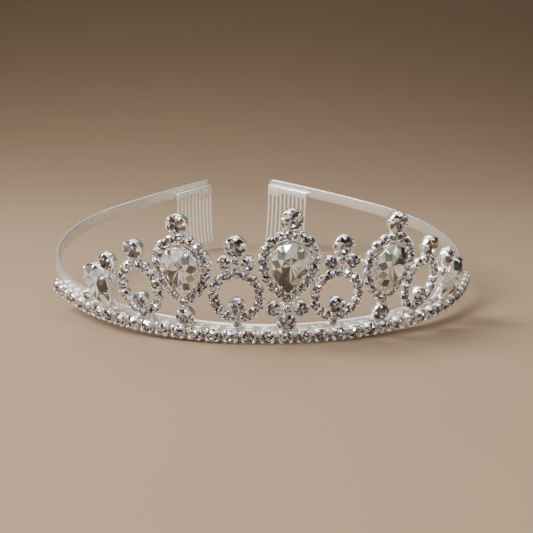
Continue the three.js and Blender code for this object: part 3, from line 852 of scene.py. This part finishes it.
# Each side's angle is where its pear's painted dark reflection lies.
for side, dark_reflection_side in (("right", 0.9), ("left", -0.6)):
    ornament = halo_pear("side", side, SIDE_PEAR_AT, base + reach(BASE_GEM), dark_reflection_side)
    ornament.round("base_stone", BASE_GEM, 0, base)
    ornament.bar(0, base, 0, base + reach(BASE_GEM) + CHAIN_CUP)
    ornament.solder(0, size=1.5)
    ornament.finish()

# Inner rings: an oval of small stones on one foot stone, with a stone inside it, two on its shoulders, and a
# small one under the one on top.
INNER_AT = 10.47
INNER_FOOT = 3.656
INNER_WIDE, INNER_HIGH = 10.4, 11.3
INSIDE_GEM = 3.7
SHOULDER_GEM = 3
SHOULDER_SPREAD, SHOULDER_RISE = 2.6, 2.8
INNER_TOP_RISE = 6.8
FOOT_GEM = 1.6
FOOT_DEEP = 1.2
for side in ("right", "left"):
    ornament = Ornament("inner_ring", side, INNER_AT)
    bottom = INNER_FOOT + CHAIN_CUP / 2
    crest = bottom + INNER_HIGH
    top = crest + INNER_TOP_RISE
    shoulder = crest + SHOULDER_RISE
    inside = bottom + CHAIN_CUP / 2 + reach(INSIDE_GEM)
    foot = FOOT + reach(FOOT_GEM)
    ornament.chain("stones", oval_of(INNER_WIDE, INNER_HIGH), (bottom + crest) / 2)
    ornament.round("top_stone", TOP_GEM, 0, top)
    ornament.round("crest_stone", FOOT_GEM, 0, top - reach(TOP_GEM) - reach(FOOT_GEM))
    ornament.round("near_stone", SHOULDER_GEM, -SHOULDER_SPREAD, shoulder)
    ornament.round("far_stone", SHOULDER_GEM, SHOULDER_SPREAD, shoulder)
    ornament.round("inside_stone", INSIDE_GEM, 0, inside)
    ornament.round("foot_stone", FOOT_GEM, 0, foot, FOOT_DEEP)
    ornament.bar(-SHOULDER_SPREAD, shoulder, SHOULDER_SPREAD, shoulder)
    ornament.bar(0, crest, 0, top)
    ornament.bar(0, foot, 0, inside)
    ornament.solder(0, size=1.0)
    ornament.finish()

# Outer rings: a narrower, taller oval that stands on the strip itself, with a stone inside and one on top.
OUTER_AT = 32.42
OUTER_WIDE, OUTER_HIGH = 9.8, 12.4
for side in ("right", "left"):
    ornament = Ornament("outer_ring", side, OUTER_AT)
    bottom = FOOT + CHAIN_CUP / 2
    crest = bottom + OUTER_HIGH
    top = crest + CHAIN_CUP / 2 + reach(TOP_GEM)
    inside = bottom + CHAIN_CUP / 2 + reach(INSIDE_GEM)
    ornament.chain("stones", oval_of(OUTER_WIDE, OUTER_HIGH), (bottom + crest) / 2)
    ornament.round("top_stone", TOP_GEM, 0, top)
    ornament.round("inside_stone", INSIDE_GEM, 0, inside)
    ornament.bar(0, crest, 0, top)
    ornament.bar(0, bottom, 0, inside)
    ornament.solder(0, size=1.4)
    ornament.finish()

# End pears: a pear in a plain claw cup that leans outboard, with a stone above it, a small one between them
# and one outboard.
END_AT = 44.36
END_FOOT = 1.593
END_TILT = math.radians(14)
END_TOP_GEM = 4.4
END_TOP_SPREAD, END_TOP_RISE = 4.4, 5.2
OUTBOARD_GEM = 2.9
END_BEAD_AT = -1.8
# Each side's angle is where its pear's painted dark reflection lies.
for side, dark_reflection_side in (("right", 1.6), ("left", 3.3)):
    ornament = Ornament("end", side, END_AT)
    middle = END_FOOT + tip_reach(CUP_WALL) * math.cos(END_TILT)
    crest = (-END_TOP_SPREAD, middle + END_TOP_RISE)
    between = (crest[0] - SMALL_GEM / 2, crest[1] - reach(END_TOP_GEM) - reach(SMALL_GEM))
    outboard = (pear_head + reach(OUTBOARD_GEM), END_FOOT + reach(OUTBOARD_GEM))
    ornament.pear(middle, END_TILT, claws=8, dark_reflection_side=dark_reflection_side)
    ornament.round("top_stone", END_TOP_GEM, *crest)
    ornament.round("link_stone", SMALL_GEM, *between)
    ornament.round("outboard_stone", OUTBOARD_GEM, *outboard)
    for spot in (crest, between, outboard):
        ornament.bar(0, middle, *spot)
    ornament.solder(END_BEAD_AT, size=1.4)
    ornament.finish()

# ---------------------------------------------------------------------------------------------------------
# The table: a plain pale board in a warm fabric tone. It is flat under the tiara and curves up as a quarter
# circle far behind it.
SWEEP_FRONT = -2.0
SWEEP_FLAT = 0.3
SWEEP_RISE = 1.6
SWEEP_TOP = 3 * SWEEP_RISE
SWEEP_HALF = 3


def table_board():
    """Plain board in the tone of fabric, with only the faintest mottling."""
    finish = Finish("pale_board", Roughness=0.75)
    tone = finish.noise(finish.coordinate(), 18, 3)
    return finish.feed(Base_Color=finish.blend(tone, (0.200, 0.138, 0.085, 1), (0.184, 0.126, 0.078, 1)))


bend = np.linspace(0, math.pi / 2, 24)
sweep_back = SWEEP_FLAT + SWEEP_RISE
profile_y = np.concatenate([[SWEEP_FRONT], SWEEP_FLAT + SWEEP_RISE * np.sin(bend), [sweep_back]])
profile_z = np.concatenate([[0], SWEEP_RISE * (1 - np.cos(bend)), [SWEEP_TOP]])
across = np.linspace(-SWEEP_HALF, SWEEP_HALF, 9)
sweep_points = np.stack(np.broadcast_arrays(across[None, :], profile_y[:, None], profile_z[:, None]), -1)
sweep_mesh = bpy.data.meshes.new("table_sweep")
sweep_faces = grid_faces(len(profile_y), len(across), closed=False)
sweep_mesh.from_pydata(sweep_points.reshape(-1, 3).tolist(), [], sweep_faces)
sweep_mesh.polygons.foreach_set("use_smooth", np.ones(len(sweep_faces), bool))
sweep_mesh.materials.append(table_board().material)
table_sweep = bpy.data.objects.new("table_sweep", sweep_mesh)
bpy.context.scene.collection.objects.link(table_sweep)

# Soft studio light: one large window-like panel from the left, a smaller one on the right, one above and a
# low fill behind the viewer, with dim room light between them. Each panel faces the middle of the tiara.
LIT_MIDDLE = Vector((0, -0.03, 0.01))
LIGHTS = [
    ("window", (-0.45, -0.10, 0.50), 0.40, 12.0, (1.0, 0.98, 0.95)),
    ("right_fill", (0.55, -0.35, 0.30), 0.25, 1.5, (1.0, 0.95, 0.88)),
    ("overhead", (0.05, 0.35, 0.70), 0.50, 3.0, (1.0, 0.98, 0.95)),
    ("front_fill", (-0.15, -0.60, 0.32), 0.20, 3.4, (1.0, 0.98, 0.95)),
]
for name, spot, size, power, colour in LIGHTS:
    lamp = bpy.data.lights.new(name, "AREA")
    lamp.shape = "SQUARE"
    lamp.size = size
    lamp.energy = power
    lamp.color = colour
    holder = bpy.data.objects.new(name, lamp)
    holder.location = spot
    holder.rotation_euler = (LIT_MIDDLE - Vector(spot)).to_track_quat("-Z", "Y").to_euler()
    bpy.context.scene.collection.objects.link(holder)

room_light = bpy.data.lights.new("room_light", "SUN")
room_light.energy = 0.7
room_light.angle = math.radians(90)
room_light.color = (1.0, 0.96, 0.90)
room_holder = bpy.data.objects.new("room_light", room_light)
room_holder.rotation_euler = (math.radians(25), math.radians(-15), 0)
bpy.context.scene.collection.objects.link(room_holder)

world = bpy.data.worlds.new("room")
bpy.context.scene.world = world
world.use_nodes = True
room = world.node_tree.nodes["Background"]
room.inputs["Color"].default_value = (0.80, 0.72, 0.64, 1)
room.inputs["Strength"].default_value = 0.16

# The camera looks down at the tiara from in front and a little to the left. Its place and its line of sight
# are given in the strip's own frame, in millimetres.
EYE = np.array([-21.9, -166.9, 72.6])
LOOK = np.array([0.0989, 0.9421, -0.3203])
camera_data = bpy.data.cameras.new("camera")
camera_data.lens = 54.03
camera_data.sensor_width = 36
camera_data.clip_start = 0.01
camera = bpy.data.objects.new("camera", camera_data)
camera.location = moved(EYE[None], lay_down)[0]
camera.rotation_euler = Vector(lay_down[:3, :3] @ LOOK).to_track_quat("-Z", "Y").to_euler()
bpy.context.scene.collection.objects.link(camera)
bpy.context.scene.camera = camera
